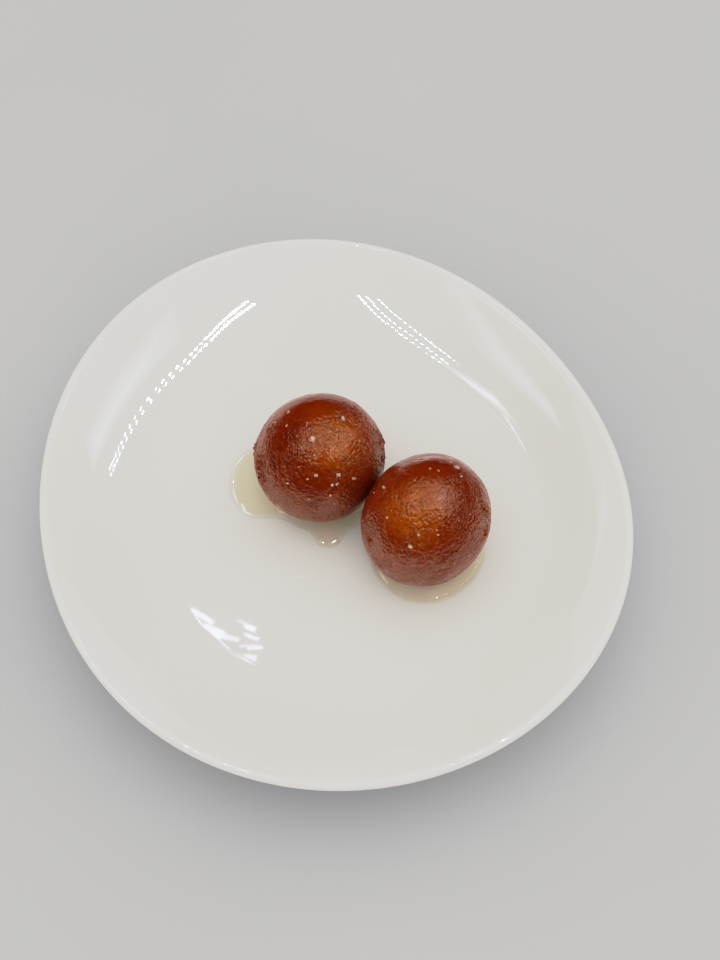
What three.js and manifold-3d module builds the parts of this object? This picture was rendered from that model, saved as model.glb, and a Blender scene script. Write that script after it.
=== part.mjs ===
// Two gulab jamun (fried milk dumplings soaked in sugar syrup) on their glazed porcelain plate,
// with the syrup that has run off them onto the plate. Millimetres, +Z up.
// The origin is on the table, below the middle of the plate's outline; the eater sits at -Y.

import * as THREE from 'three';
import { mergeVertices } from 'three/addons/utils/BufferGeometryUtils.js';
import Module from 'manifold-3d';

const wasm = await Module();
wasm.setup();

// ---------------------------------------------------------------- driving dimensions

const WELL = { x: 4.9, y: -1.9, radius: 69.3, floor: 6.5 };  // flat middle of the plate
const RIM_HEIGHT = 28.5;          // top of the lip above the table
const RIM_RADIUS = 107.5;         // mean distance from the middle of the well to the lip's edge
const RIM_WAVES = [               // what makes the outline egg-shaped instead of round
  { times: 1, amount: 6.6, towards: 174.8 },   // the well lies off the middle
  { times: 2, amount: 7.0, towards: 108.4 },   // longer than wide, turned to the left
  { times: 3, amount: 1.6, towards: 112.3 },   // one end blunter than the other
];
const WALL_CURVE = 1.75;          // power of the wall's rise: it starts flat and ends steep
const FLOOR_THICKNESS = 4.2;
const LIP_THICKNESS = 3.5;
const FOOT = { inner: 62, outer: 67, edge: 0.5, flare: 0.8 };  // ring that the plate stands on

const BALL_SINK = 0.8;            // how much of each ball's round bottom is pressed flat
const BALL_GAP = 0.3;             // room between a ball and the syrup round it
const BALLS = [
  {
    side: 'left',
    x: -5.1, y: 8.6,
    long: 23.7, short: 23.0, half_height: 20.5, turn: 74,
    phase: 0.4,
    grains: [                     // pale grains of sugar: direction from the ball's middle, width
      { around: -106, up: 71, width: 2.4 },
      { around: 17, up: 65, width: 2.1 },
      { around: -67, up: 36, width: 1.8 },
      { around: -92, up: 39, width: 1.6 },
      { around: 147, up: 54, width: 1.6 },
      { around: -53, up: 27, width: 1.5 },
    ],
  },
  {
    side: 'right',
    x: 31.7, y: -17.7,
    long: 24.0, short: 21.5, half_height: 21.0, turn: 57.5,
    phase: 2.1,
    grains: [
      { around: 44, up: 52, width: 2.2 },
      { around: 56, up: 50, width: 1.6 },
      { around: -109, up: 33, width: 1.7 },
      { around: 169, up: 46, width: 1.6 },
      { around: -103, up: 44, width: 1.4 },
    ],
  },
];
const GRAIN_FLATNESS = 0.6;       // height of a grain as a part of its width
const BALL_LUMPS = [              // uneven skin: waves over the ball, as a part of its radius
  { size: 0.006, across: 3.1 },
  { size: 0.004, across: 6.3 },
  { size: 0.003, across: 11.7 },
];

// The level of the syrup above the well, the upright foot of its edge, and the round of the edge.
const SYRUP = { depth: 1.2, upright: 0.15, edge: 1.9, edge_steps: 3 };
const LEFT_POOL = [               // runs out to the left, with one drop towards the eater
  [-38.8, 10.0], [-36.2, 1.7], [-30.0, -4.0], [-20.0, -4.6], [-12.7, -8.3], [-9.1, -10.2],
  [-7.1, -12.9], [-6.0, -15.3], [-2.4, -16.8], [1.6, -15.3], [3.1, -12.5], [4.9, -9.7],
  [8.7, -7.3], [10.6, -2.8], [11.0, 5.0], [4.0, 20.0], [-12.0, 28.0], [-27.5, 28.3],
  [-36.2, 21.8],
];
const RIGHT_POOL = { x: 32.4, y: -17.9, radius: 20.9, wave: 0.55, waves: 3, phase: 0.6 };

const PLATE_STEPS = 88;           // facets round the plate
const WALL_STEPS = 8;             // facets up the wall
const LIP_STEPS = 5;              // facets round the lip's edge
const BALL_DETAIL = 9;            // times each side of the ball's icosahedron is split
const POOL_STEPS = 64;            // facets round a pool of syrup
const CUTTER_WIDTH = 300;         // side of the block that cuts things flat, wider than the plate

// ---------------------------------------------------------------- materials

const porcelain = () => new THREE.MeshStandardMaterial({
  name: 'white glazed porcelain',
  color: 0xe6e3da,
  roughness: 0.18,
  metalness: 0,
});

const friedDough = () => new THREE.MeshStandardMaterial({
  name: 'fried dough soaked in syrup',
  color: 0x84310f,
  roughness: 0.32,
  metalness: 0,
});

const sugarSyrup = () => new THREE.MeshStandardMaterial({
  name: 'clear pale sugar syrup',
  color: 0xd6c48e,
  roughness: 0.08,
  metalness: 0,
  transparent: true,
  opacity: 0.55,
});

// ---------------------------------------------------------------- solids

/** Turns a closed three.js geometry into a solid that can be joined and cut. */
function solid(geometry) {
  const bare = geometry.clone();
  bare.deleteAttribute('normal');
  bare.deleteAttribute('uv');
  const welded = mergeVertices(bare, 1e-4);
  return new wasm.Manifold(new wasm.Mesh({
    numProp: 3,
    vertProperties: new Float32Array(welded.attributes.position.array),
    triVerts: new Uint32Array(welded.index.array),
  }));
}

/** Turns a solid back into a geometry. */
function geometryOf(body) {
  const mesh = body.getMesh();
  const geometry = new THREE.BufferGeometry();
  geometry.setAttribute('position', new THREE.BufferAttribute(mesh.vertProperties, 3));
  geometry.setIndex(new THREE.BufferAttribute(mesh.triVerts, 1));
  geometry.computeVertexNormals();
  return geometry;
}

/** A solid with all of it below z = 0 cut away. */
function cutFlat(body) {
  const block = new THREE.BoxGeometry(CUTTER_WIDTH, CUTTER_WIDTH, CUTTER_WIDTH);
  block.translate(0, 0, -CUTTER_WIDTH / 2);
  return body.subtract(solid(block));
}

/** Moves every vertex of a geometry by a rule. */
function reshape(geometry, rule) {
  const position = geometry.attributes.position;
  const point = new THREE.Vector3();
  for (let i = 0; i < position.count; i += 1) {
    point.fromBufferAttribute(position, i);
    rule(point);
    position.setXYZ(i, point.x, point.y, point.z);
  }
  return geometry;
}

/** The unit vector at an angle round +Z and an angle up from level, both in degrees. */
function direction(around, up) {
  const level = Math.cos(THREE.MathUtils.degToRad(up));
  return new THREE.Vector3(
    level * Math.cos(THREE.MathUtils.degToRad(around)),
    level * Math.sin(THREE.MathUtils.degToRad(around)),
    Math.sin(THREE.MathUtils.degToRad(up)),
  );
}

// ---------------------------------------------------------------- plate

/** Distance from the middle of the well to the lip's edge, at an angle in radians. */
function rimDistance(angle) {
  let distance = RIM_RADIUS;
  for (const wave of RIM_WAVES) {
    const towards = THREE.MathUtils.degToRad(wave.towards);
    distance += wave.amount * Math.cos(wave.times * (angle - towards));
  }
  return distance;
}

/** The wall's middle line and thickness, from the well (0) to the middle of the lip (1). */
function wallAt(rise) {
  const start = new THREE.Vector2(WELL.radius, WELL.floor - FLOOR_THICKNESS / 2);
  const end = new THREE.Vector2(RIM_RADIUS - LIP_THICKNESS / 2, RIM_HEIGHT - LIP_THICKNESS / 2);
  const run = end.x - start.x;
  const climb = end.y - start.y;
  const slope = (WALL_CURVE * climb * rise ** (WALL_CURVE - 1)) / run;
  return {
    middle: new THREE.Vector2(start.x + run * rise, start.y + climb * rise ** WALL_CURVE),
    normal: new THREE.Vector2(-slope, 1).normalize(),
    half: THREE.MathUtils.lerp(FLOOR_THICKNESS, LIP_THICKNESS, rise) / 2,
  };
}

/** Half of the plate's section, from the middle of its underside round to its well. */
function plateSection() {
  const underside = WELL.floor - FLOOR_THICKNESS;
  const section = [
    new THREE.Vector2(0, underside),
    new THREE.Vector2(FOOT.inner - FOOT.flare, underside),
    new THREE.Vector2(FOOT.inner, FOOT.edge),
    new THREE.Vector2(FOOT.inner + FOOT.edge, 0),
    new THREE.Vector2(FOOT.outer - FOOT.edge, 0),
    new THREE.Vector2(FOOT.outer, FOOT.edge),
    new THREE.Vector2(FOOT.outer + FOOT.flare, underside),
  ];
  for (let i = 0; i <= WALL_STEPS; i += 1) {
    const wall = wallAt(i / WALL_STEPS);
    section.push(wall.middle.clone().addScaledVector(wall.normal, -wall.half));
  }
  const lip = wallAt(1);
  const outwards = new THREE.Vector2(lip.normal.y, -lip.normal.x);
  for (let i = 1; i < LIP_STEPS; i += 1) {
    const turn = (Math.PI * i) / LIP_STEPS;
    const edge = lip.middle.clone();
    edge.addScaledVector(lip.normal, -Math.cos(turn) * lip.half);
    edge.addScaledVector(outwards, Math.sin(turn) * lip.half);
    section.push(edge);
  }
  for (let i = WALL_STEPS; i >= 0; i -= 1) {
    const wall = wallAt(i / WALL_STEPS);
    section.push(wall.middle.clone().addScaledVector(wall.normal, wall.half));
  }
  section.push(new THREE.Vector2(0, WELL.floor));
  return section;
}

/** The plate is turned round, then its wall is drawn out to the egg-shaped outline. */
function makePlate() {
  const turned = new THREE.LatheGeometry(plateSection(), PLATE_STEPS);
  turned.rotateX(Math.PI / 2);
  const lipStart = RIM_RADIUS - LIP_THICKNESS;
  reshape(turned, (point) => {
    const distance = Math.hypot(point.x, point.y);
    const share = THREE.MathUtils.clamp((distance - WELL.radius) / (lipStart - WELL.radius), 0, 1);
    const stretched = distance + share * (rimDistance(Math.atan2(point.y, point.x)) - RIM_RADIUS);
    const scale = distance > 0 ? stretched / distance : 1;
    point.set(point.x * scale, point.y * scale, point.z);
  });
  const plate = new THREE.Mesh(geometryOf(solid(turned)), porcelain());
  plate.name = 'plate';
  plate.position.set(WELL.x, WELL.y, 0);
  return plate;
}

// ---------------------------------------------------------------- gulab jamun

/** How far the skin stands out in a direction, as a part of the radius. */
function lump(unit, phase) {
  let sum = 0;
  for (const wave of BALL_LUMPS) {
    const a = Math.sin(wave.across * unit.x + phase) * Math.cos(wave.across * unit.y - phase);
    const b = Math.sin(wave.across * unit.y + 2 * phase) * Math.cos(wave.across * unit.z + phase);
    sum += wave.size * (a + b);
  }
  return sum;
}

/** A point of the ball's skin, from the middle of its flat spot, pushed out by an extra. */
function skinPoint(ball, unit, extra) {
  const stand = 1 + lump(unit, ball.phase);
  return new THREE.Vector3(
    unit.x * (ball.long * stand + extra),
    unit.y * (ball.short * stand + extra),
    unit.z * (ball.half_height * stand + extra) + ball.half_height - BALL_SINK,
  );
}

/** The whole lumpy ball, not yet cut flat, its long axis along X. */
function roundBall(ball, extra) {
  const sphere = new THREE.IcosahedronGeometry(1, BALL_DETAIL);
  return reshape(sphere, (point) => point.copy(skinPoint(ball, point.clone().normalize(), extra)));
}

/** A pale grain of sugar, half sunk in the skin. */
function grainSolid(ball, grain) {
  const unit = direction(grain.around - ball.turn, grain.up);
  unit.divide(new THREE.Vector3(ball.long, ball.short, ball.half_height)).normalize();
  const pebble = new THREE.IcosahedronGeometry(grain.width / 2, 0);
  pebble.scale(1, 1, GRAIN_FLATNESS);
  pebble.applyQuaternion(new THREE.Quaternion().setFromUnitVectors(new THREE.Vector3(0, 0, 1), unit));
  const place = skinPoint(ball, unit, 0);
  pebble.translate(place.x, place.y, place.z);
  return solid(pebble);
}

function makeBall(ball) {
  let body = cutFlat(solid(roundBall(ball, 0)));
  for (const grain of ball.grains) {
    body = body.add(grainSolid(ball, grain));
  }
  const mesh = new THREE.Mesh(geometryOf(body), friedDough());
  mesh.name = `gulab_jamun_${ball.side}`;
  mesh.position.set(ball.x, ball.y, WELL.floor);
  mesh.rotation.z = THREE.MathUtils.degToRad(ball.turn);
  return mesh;
}

// ---------------------------------------------------------------- syrup

function leftOutline() {
  const points = LEFT_POOL.map(([x, y]) => new THREE.Vector3(x, y, 0));
  const curve = new THREE.CatmullRomCurve3(points, true, 'centripetal');
  return curve.getSpacedPoints(POOL_STEPS).slice(0, -1);
}

function rightOutline() {
  const points = [];
  for (let i = 0; i < POOL_STEPS; i += 1) {
    const angle = (2 * Math.PI * i) / POOL_STEPS;
    const wave = RIGHT_POOL.wave * Math.sin(RIGHT_POOL.waves * angle + RIGHT_POOL.phase);
    const reach = RIGHT_POOL.radius + wave;
    points.push(new THREE.Vector3(
      RIGHT_POOL.x + reach * Math.cos(angle),
      RIGHT_POOL.y + reach * Math.sin(angle),
      0,
    ));
  }
  return points;
}

/** A pool with a flat bottom and a round edge, cut round the foot of every ball. */
function makePool(side, outline) {
  const shape = new THREE.Shape(outline.map((point) => new THREE.Vector2(point.x, point.y)));
  const slab = new THREE.ExtrudeGeometry(shape, {
    depth: 2 * SYRUP.upright,
    bevelEnabled: true,
    bevelThickness: SYRUP.depth - SYRUP.upright,
    bevelSize: SYRUP.edge,
    bevelOffset: -SYRUP.edge,
    bevelSegments: SYRUP.edge_steps,
  });
  slab.translate(0, 0, -SYRUP.upright);
  let body = cutFlat(solid(slab));
  for (const ball of BALLS) {
    const cutter = roundBall(ball, BALL_GAP);
    cutter.rotateZ(THREE.MathUtils.degToRad(ball.turn));
    cutter.translate(ball.x, ball.y, 0);
    body = body.subtract(solid(cutter));
  }
  const mesh = new THREE.Mesh(geometryOf(body), sugarSyrup());
  mesh.name = `syrup_pool_${side}`;
  mesh.position.z = WELL.floor;
  return mesh;
}

// ---------------------------------------------------------------- the whole plate of sweets

const plateOfSweets = new THREE.Group();
plateOfSweets.name = 'gulab_jamun_on_plate';
plateOfSweets.add(makePlate());
for (const ball of BALLS) {
  plateOfSweets.add(makeBall(ball));
}
plateOfSweets.add(makePool('left', leftOutline()));
plateOfSweets.add(makePool('right', rightOutline()));

const box = new THREE.Box3().setFromObject(plateOfSweets);
const middle = box.getCenter(new THREE.Vector3());
plateOfSweets.position.set(-middle.x, -middle.y, 0);

export default plateOfSweets;
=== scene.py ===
# %% [markdown]
# # Gulab jamun on a porcelain plate
#
# Gulab jamun are balls of milk dough, fried until the skin is reddish brown and then soaked in
# warm sugar syrup. Two of them lie on a white plate, each in the small pool of syrup that has
# run off it. Everything is in metres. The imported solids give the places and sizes; this script
# gives every surface its look.

# %% Load the frame
import math
import random

import bpy
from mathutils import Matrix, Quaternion, Vector, kdtree, noise


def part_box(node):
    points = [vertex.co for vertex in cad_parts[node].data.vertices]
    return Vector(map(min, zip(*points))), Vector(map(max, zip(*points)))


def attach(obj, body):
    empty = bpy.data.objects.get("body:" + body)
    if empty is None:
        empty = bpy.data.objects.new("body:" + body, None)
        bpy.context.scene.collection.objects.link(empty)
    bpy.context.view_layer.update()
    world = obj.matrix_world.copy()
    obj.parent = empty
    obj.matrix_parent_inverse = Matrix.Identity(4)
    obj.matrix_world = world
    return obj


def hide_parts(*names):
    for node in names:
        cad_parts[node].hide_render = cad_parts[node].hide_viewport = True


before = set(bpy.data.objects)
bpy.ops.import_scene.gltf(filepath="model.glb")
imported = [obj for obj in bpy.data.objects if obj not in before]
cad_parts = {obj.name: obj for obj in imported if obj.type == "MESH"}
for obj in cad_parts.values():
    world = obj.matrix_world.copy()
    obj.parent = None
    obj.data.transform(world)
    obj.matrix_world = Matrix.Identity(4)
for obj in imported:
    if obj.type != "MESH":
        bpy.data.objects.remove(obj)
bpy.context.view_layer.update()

MM = 0.001
print("solids:", sorted(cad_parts))

# %% [markdown]
# ## Camera
#
# The plate is looked down on from the eater's side, at 56 degrees above the table. The lens is
# a short telephoto, so the plate keeps its shape and the near rim is only a little larger. A
# camera could be made to follow a target, but it looks straight along +Y here, so its place and
# its tilt say all.

# %% Camera
LENS_MM = 48.75
SENSOR_MM = 36.0
LOOK_DOWN = math.radians(56.0)
CAMERA_PLACE = Vector((9.2, -254.5, 402.2)) * MM
NEAREST_SEEN = 10 * MM

lens = bpy.data.cameras.new("camera")
lens.lens = LENS_MM
lens.sensor_width = SENSOR_MM
lens.clip_start = NEAREST_SEEN
camera = bpy.data.objects.new("camera", lens)
camera.location = CAMERA_PLACE
camera.rotation_euler = (math.pi / 2 - LOOK_DOWN, 0, 0)
bpy.context.scene.collection.objects.link(camera)
bpy.context.scene.camera = camera
print("camera", round(CAMERA_PLACE.length / MM), "mm from the plate's middle")

# %% [markdown]
# ## Hands
#
# A few small helpers stand for what a modeller does by hand all the time: letting go of
# everything, taking one piece, naming what was just added, and applying a modifier. An operator
# works on all that is selected, and the solids are still selected after loading, so every
# helper lets go of them first.

# %% Hands for modelling
def let_go():
    """Leaves edit mode and deselects everything."""
    if bpy.context.object and bpy.context.object.mode != "OBJECT":
        bpy.ops.object.mode_set(mode="OBJECT")
    bpy.ops.object.select_all(action="DESELECT")


def take(piece):
    """Makes one piece the only selected and active one."""
    let_go()
    piece.select_set(True)
    bpy.context.view_layer.objects.active = piece


def name_new(name):
    """Names the piece that was just added."""
    piece = bpy.context.object
    piece.name = name
    piece.data.name = name
    return piece


def apply_modifier(piece, kind, **settings):
    """Adds a modifier with its settings and applies it at once."""
    take(piece)
    modifier = piece.modifiers.new(kind.lower(), kind)
    for key, value in settings.items():
        setattr(modifier, key, value)
    bpy.ops.object.modifier_apply(modifier=modifier.name)


def settle(piece):
    """Puts the piece's own origin at the world's, unturned and unscaled."""
    take(piece)
    bpy.ops.object.transform_apply(location=True, rotation=True, scale=True)


let_go()

# %% [markdown]
# ## The plate's outline
#
# The plate is a coupe plate: a flat round well whose wall rises in one soft curve to a plain
# rounded lip, with no flat rim. Seen from above its outline isn't round but egg-shaped. Points
# set by hand could draw it, but a mean radius with three gentle waves says the same in fewer
# numbers. It is measured from the middle of the well.

# %% Outline of the plate
RIM_RADIUS = 107.5 * MM
RIM_WAVES = [          # times round, amount, degrees of its first crest
    (1, 6.6 * MM, 174.8),
    (2, 7.0 * MM, 108.4),
    (3, 1.6 * MM, 112.3),
]


def rim_distance(angle):
    """Distance from the middle of the well to the lip's edge."""
    distance = RIM_RADIUS
    for times, amount, crest in RIM_WAVES:
        distance += amount * math.cos(times * (angle - math.radians(crest)))
    return distance


def middle_of_well():
    """The outline's box is centred on the origin, which places the well."""
    angles = [math.radians(step) for step in range(360)]
    across = [rim_distance(angle) * math.cos(angle) for angle in angles]
    along = [rim_distance(angle) * math.sin(angle) for angle in angles]
    return Vector((-(max(across) + min(across)) / 2, -(max(along) + min(along)) / 2, 0))


well_middle = middle_of_well()
print("middle of the well in mm:", [round(value / MM, 2) for value in well_middle])

# %% [markdown]
# ## The plate's section
#
# A potter's template for such a plate is one line: from the middle of the underside out over
# the foot ring, up the outside of the wall, round the lip and back down to the middle of the
# well. The wall's middle line climbs slowly at first and steeply at the end, and both its faces
# stand half a thickness away from it. The points lie close together where the line turns,
# because a subdivision rounds off whatever is left wide.

# %% Section of the plate
WELL_RADIUS = 69.3 * MM
WALL_CURVE = 1.75
FLOOR_THICKNESS = 4.2 * MM
LIP_THICKNESS = 3.5 * MM
FOOT_INNER, FOOT_OUTER, FOOT_EDGE = 62.0 * MM, 67.0 * MM, 0.5 * MM
UNDERSIDE_RINGS = (0.1, 0.4, 0.7, 0.95, 0.985)   # shares of the foot ring's inner radius
WELL_RINGS = (0.97, 0.9, 0.7, 0.4, 0.1)          # shares of the well's radius
WALL_STEPS, LIP_STEPS = 16, 8

rim_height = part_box("plate")[1].z
well_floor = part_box("gulab_jamun_left")[0].z


def wall_at(rise):
    """Middle point, normal and half thickness of the wall: 0 is the well, 1 the lip."""
    run = RIM_RADIUS - LIP_THICKNESS / 2 - WELL_RADIUS
    start = well_floor - FLOOR_THICKNESS / 2
    climb = rim_height - LIP_THICKNESS / 2 - start
    slope = WALL_CURVE * climb * rise ** (WALL_CURVE - 1) / run
    middle = Vector((WELL_RADIUS + run * rise, start + climb * rise ** WALL_CURVE))
    normal = Vector((-slope, 1)).normalized()
    half = (FLOOR_THICKNESS + (LIP_THICKNESS - FLOOR_THICKNESS) * rise) / 2
    return middle, normal, half


def plate_section():
    """Distances and heights from the underside's middle, round the lip, to the well."""
    underside = well_floor - FLOOR_THICKNESS
    line = [Vector((share * FOOT_INNER, underside)) for share in UNDERSIDE_RINGS]
    line += [
        Vector((FOOT_INNER, FOOT_EDGE)),
        Vector((FOOT_INNER + FOOT_EDGE, 0)),
        Vector((FOOT_OUTER - FOOT_EDGE, 0)),
        Vector((FOOT_OUTER, FOOT_EDGE)),
        Vector((FOOT_OUTER + FOOT_EDGE, underside)),
    ]
    for step in range(WALL_STEPS + 1):
        middle, normal, half = wall_at(step / WALL_STEPS)
        line.append(middle - normal * half)
    middle, normal, half = wall_at(1)
    outwards = Vector((normal.y, -normal.x))
    for step in range(1, LIP_STEPS):
        turn = math.pi * step / LIP_STEPS
        line.append(middle - normal * half * math.cos(turn) + outwards * half * math.sin(turn))
    for step in range(WALL_STEPS, -1, -1):
        middle, normal, half = wall_at(step / WALL_STEPS)
        line.append(middle + normal * half)
    line += [Vector((share * WELL_RADIUS, well_floor)) for share in WELL_RINGS]
    return line


section = plate_section()
print("the section has", len(section), "points")

# %% [markdown]
# ## Turning the plate
#
# A potter would turn this plate and press it into its egg shape, and the same is done here. A
# screw or spin of the section would do too, but a ring of points that is extruded ring by ring
# is easier to follow: each new ring is lifted by the extrude and widened by a resize. Then a
# subdivision rounds the turned shape.

# %% Turn the plate
PLATE_STEPS = 168


def throw_plate():
    """A round plate, extruded ring by ring along the section."""
    first = section[0]
    let_go()
    bpy.ops.mesh.primitive_circle_add(
        vertices=PLATE_STEPS, radius=first.x, fill_type="NOTHING", location=(0, 0, first.y))
    plate = name_new("porcelain_plate")
    settle(plate)
    bpy.ops.object.mode_set(mode="EDIT")
    bpy.ops.mesh.select_all(action="SELECT")
    last = first
    for ring in section[1:]:
        lift = {"value": (0, 0, ring.y - last.y)}
        bpy.ops.mesh.extrude_edges_move(TRANSFORM_OT_translate=lift)
        wider = ring.x / last.x
        bpy.ops.transform.resize(value=(wider, wider, 1), center_override=(0, 0, 0))
        last = ring
    apply_modifier(plate, "SUBSURF", levels=1, render_levels=1)
    return plate


plate = throw_plate()
print("the turned plate has", len(plate.data.vertices), "points")

# %% [markdown]
# ## Closing the middles
#
# The turned plate still has a small hole in the middle of its well and of its underside. Both
# are closed only now, each with a face poked into a fan, because a fan of many thin faces
# subdivides badly. The edge of a hole is picked in code by its place, as it would be by eye.

# %% Close the middles
HOLE_MARGIN = 1.2


def pick_nothing(piece, kind):
    """Clears the picking in edit mode, with points or edges as what is picked next."""
    take(piece)
    bpy.ops.object.mode_set(mode="EDIT")
    bpy.ops.mesh.select_mode(type=kind)
    bpy.ops.mesh.select_all(action="DESELECT")
    bpy.ops.object.mode_set(mode="OBJECT")


def pick_points(piece, rule):
    """Picks the points of a piece whose place passes a rule, and stays in edit mode."""
    pick_nothing(piece, "VERT")
    for point in piece.data.vertices:
        point.select = rule(point.co)
    bpy.ops.object.mode_set(mode="EDIT")


def close_middle(piece, height):
    """Closes the small hole in the middle at a height with a fan of faces."""
    hole = section[0].x * HOLE_MARGIN
    pick_points(piece, lambda co: co.xy.length < hole and abs(co.z - height) < FOOT_EDGE)
    bpy.ops.mesh.edge_face_add()
    bpy.ops.mesh.poke()
    bpy.ops.object.mode_set(mode="OBJECT")


close_middle(plate, section[0].y)
close_middle(plate, section[-1].y)
print("closed, the plate has", len(plate.data.polygons), "faces")

# %% [markdown]
# ## Drawing the wall out to the egg shape
#
# The round plate becomes egg-shaped by moving its points outwards or inwards: not at all in the
# well, more and more up the wall, and by the whole amount at the lip. A lattice could do this
# too, but a rule for each point gives the outline exactly. The lip moves as one piece, so that
# it keeps its thickness.

# %% Draw the wall out
def move_points(piece, rule):
    """Moves every point of a piece by a rule, as a sculptor's brush would."""
    for point in piece.data.vertices:
        point.co = rule(point.co)
    piece.data.update()


def smooth_outwards(piece):
    """Turns all faces outwards and shades them smooth."""
    take(piece)
    bpy.ops.object.mode_set(mode="EDIT")
    bpy.ops.mesh.select_all(action="SELECT")
    bpy.ops.mesh.normals_make_consistent(inside=False)
    bpy.ops.object.mode_set(mode="OBJECT")
    bpy.ops.object.shade_smooth()


def draw_out(co):
    """Where a point of the turned plate goes when its wall is drawn out to the egg shape."""
    distance = co.xy.length
    lip_start = RIM_RADIUS - LIP_THICKNESS
    share = min(max((distance - WELL_RADIUS) / (lip_start - WELL_RADIUS), 0), 1)
    stretch = share * (rim_distance(math.atan2(co.y, co.x)) - RIM_RADIUS)
    scale = (distance + stretch) / distance if distance > 0 else 1
    return Vector((co.x * scale, co.y * scale, co.z)) + well_middle


move_points(plate, draw_out)
smooth_outwards(plate)
print("the plate is now", [round(side / MM, 1) for side in plate.dimensions], "mm")

# %% [markdown]
# ## Mixing a finish
#
# Every finish here is a Principled shader fed by small patterns on Object coordinates, which
# stay on the piece wherever it goes. Painted images could do it too, but patterns stay sharp at
# any distance. These first helpers add a node, make a pattern, and read how high a place is.

# %% Hands for patterns
def new_finish(name):
    """A new finish, its node tree and its Principled shader."""
    finish = bpy.data.materials.new(name)
    finish.use_nodes = True
    tree = finish.node_tree
    return finish, tree, tree.nodes["Principled BSDF"]


def add_node(tree, kind, inputs=None, **settings):
    """A new node with its settings and the values of its inputs."""
    node = tree.nodes.new("ShaderNode" + kind)
    for key, value in settings.items():
        setattr(node, key, value)
    for key, value in (inputs or {}).items():
        node.inputs[key].default_value = value
    return node


def mottling(tree, scale, detail, **inputs):
    """An uneven pattern on the piece's own coordinates; scale counts its blots per metre."""
    place = add_node(tree, "TexCoord")
    texture = add_node(tree, "TexNoise", {"Scale": scale, "Detail": detail, **inputs})
    tree.links.new(place.outputs["Object"], texture.inputs["Vector"])
    return texture.outputs["Fac"]


def spread(tree, source, low, high, to_low=0.0, to_high=1.0):
    """Maps a value from one range to another, with both ends held."""
    node = add_node(tree, "MapRange", {
        "From Min": low, "From Max": high, "To Min": to_low, "To Max": to_high})
    tree.links.new(source, node.inputs["Value"])
    return node.outputs["Result"]


def height_above(tree, low, high, to_low=0.0, to_high=1.0):
    """A value that follows the height on the piece between two levels."""
    place = add_node(tree, "TexCoord")
    parts = add_node(tree, "SeparateXYZ")
    tree.links.new(place.outputs["Object"], parts.inputs["Vector"])
    return spread(tree, parts.outputs["Z"], low, high, to_low, to_high)


print("finishes so far:", len(bpy.data.materials))

# %% [markdown]
# ## Mixing colours
#
# A colour ramp turns a pattern into shades, and a mix lays one colour over another where a mask
# says so. The Mix node holds a set of sockets for each kind of value under the same names, so
# the colour ones are taken by their number.

# %% Hands for colours
MIX_SHARE, MIX_FIRST, MIX_SECOND, MIX_RESULT = 0, 6, 7, 2
ANYWHERE = 0.5


def ramp(tree, source, stops):
    """A colour ramp over a value: stops are (position, (red, green, blue))."""
    node = add_node(tree, "ValToRGB")
    bar = node.color_ramp.elements
    while len(bar) < len(stops):
        bar.new(ANYWHERE)
    for element, (position, colour) in zip(bar, stops):
        element.position = position
        element.color = (*colour, 1)
    tree.links.new(source, node.inputs["Fac"])
    return node.outputs["Color"]


def mix_colour(tree, share, first, second, blend="MIX"):
    """Mixes two colours; each may be a socket or a plain colour, and share a socket or number."""
    node = add_node(tree, "Mix", data_type="RGBA", blend_type=blend)
    for number, value in ((MIX_SHARE, share), (MIX_FIRST, first), (MIX_SECOND, second)):
        socket = node.inputs[number]
        if hasattr(value, "is_output"):
            tree.links.new(value, socket)
        elif isinstance(value, tuple):
            socket.default_value = (*value, 1)
        else:
            socket.default_value = value
    return node.outputs[MIX_RESULT]


print("a Mix node takes its two colours at the sockets", MIX_FIRST, "and", MIX_SECOND)

# %% [markdown]
# ## A surface that is never quite even
#
# Glaze is wavy, syrup ripples and sugar is lumpy. All three are the same effect at another size
# and depth, so it is built once as a node group with its own named inputs, and each finish puts
# it in with its own values. Copies of the nodes in each finish would work as well, but a change
# would then have to be made three times.

# %% Node group of an uneven surface
def uneven_surface():
    """A group that turns a scale, a detail and a depth in metres into an uneven normal."""
    group = bpy.data.node_groups.new("uneven_surface", "ShaderNodeTree")
    for name in ("Scale", "Detail", "Depth"):
        group.interface.new_socket(name, in_out="INPUT", socket_type="NodeSocketFloat")
    group.interface.new_socket("Normal", in_out="OUTPUT", socket_type="NodeSocketVector")
    given = group.nodes.new("NodeGroupInput")
    result = group.nodes.new("NodeGroupOutput")
    place = add_node(group, "TexCoord")
    texture = add_node(group, "TexNoise")
    relief = add_node(group, "Bump", {"Strength": 1.0})
    group.links.new(place.outputs["Object"], texture.inputs["Vector"])
    group.links.new(given.outputs["Scale"], texture.inputs["Scale"])
    group.links.new(given.outputs["Detail"], texture.inputs["Detail"])
    group.links.new(given.outputs["Depth"], relief.inputs["Distance"])
    group.links.new(texture.outputs["Fac"], relief.inputs["Height"])
    group.links.new(relief.outputs["Normal"], result.inputs["Normal"])
    return group


UNEVEN_SURFACE = uneven_surface()


def make_uneven(tree, shader, scale, detail, depth):
    """Puts the group in a finish with its own values, as the shader's normal."""
    values = {"Scale": scale, "Detail": detail, "Depth": depth}
    uneven = add_node(tree, "Group", node_tree=UNEVEN_SURFACE)
    for name, value in values.items():
        uneven.inputs[name].default_value = value
    tree.links.new(uneven.outputs["Normal"], shader.inputs["Normal"])


print("sockets of the group:", [socket.name for socket in UNEVEN_SURFACE.interface.items_tree])

# %% [markdown]
# ## Glazed porcelain
#
# The glaze is a warm white and very smooth, so it mirrors the lamps as clear streaks. Real
# glaze is never quite even: it is a little creamier where it pools, and its surface is wavy by
# a few hundredths of a millimetre. The foot ring is wiped clean before firing, so it is dull
# bare clay. One finish with a mask by height does for both, as the two are one piece.

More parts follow.
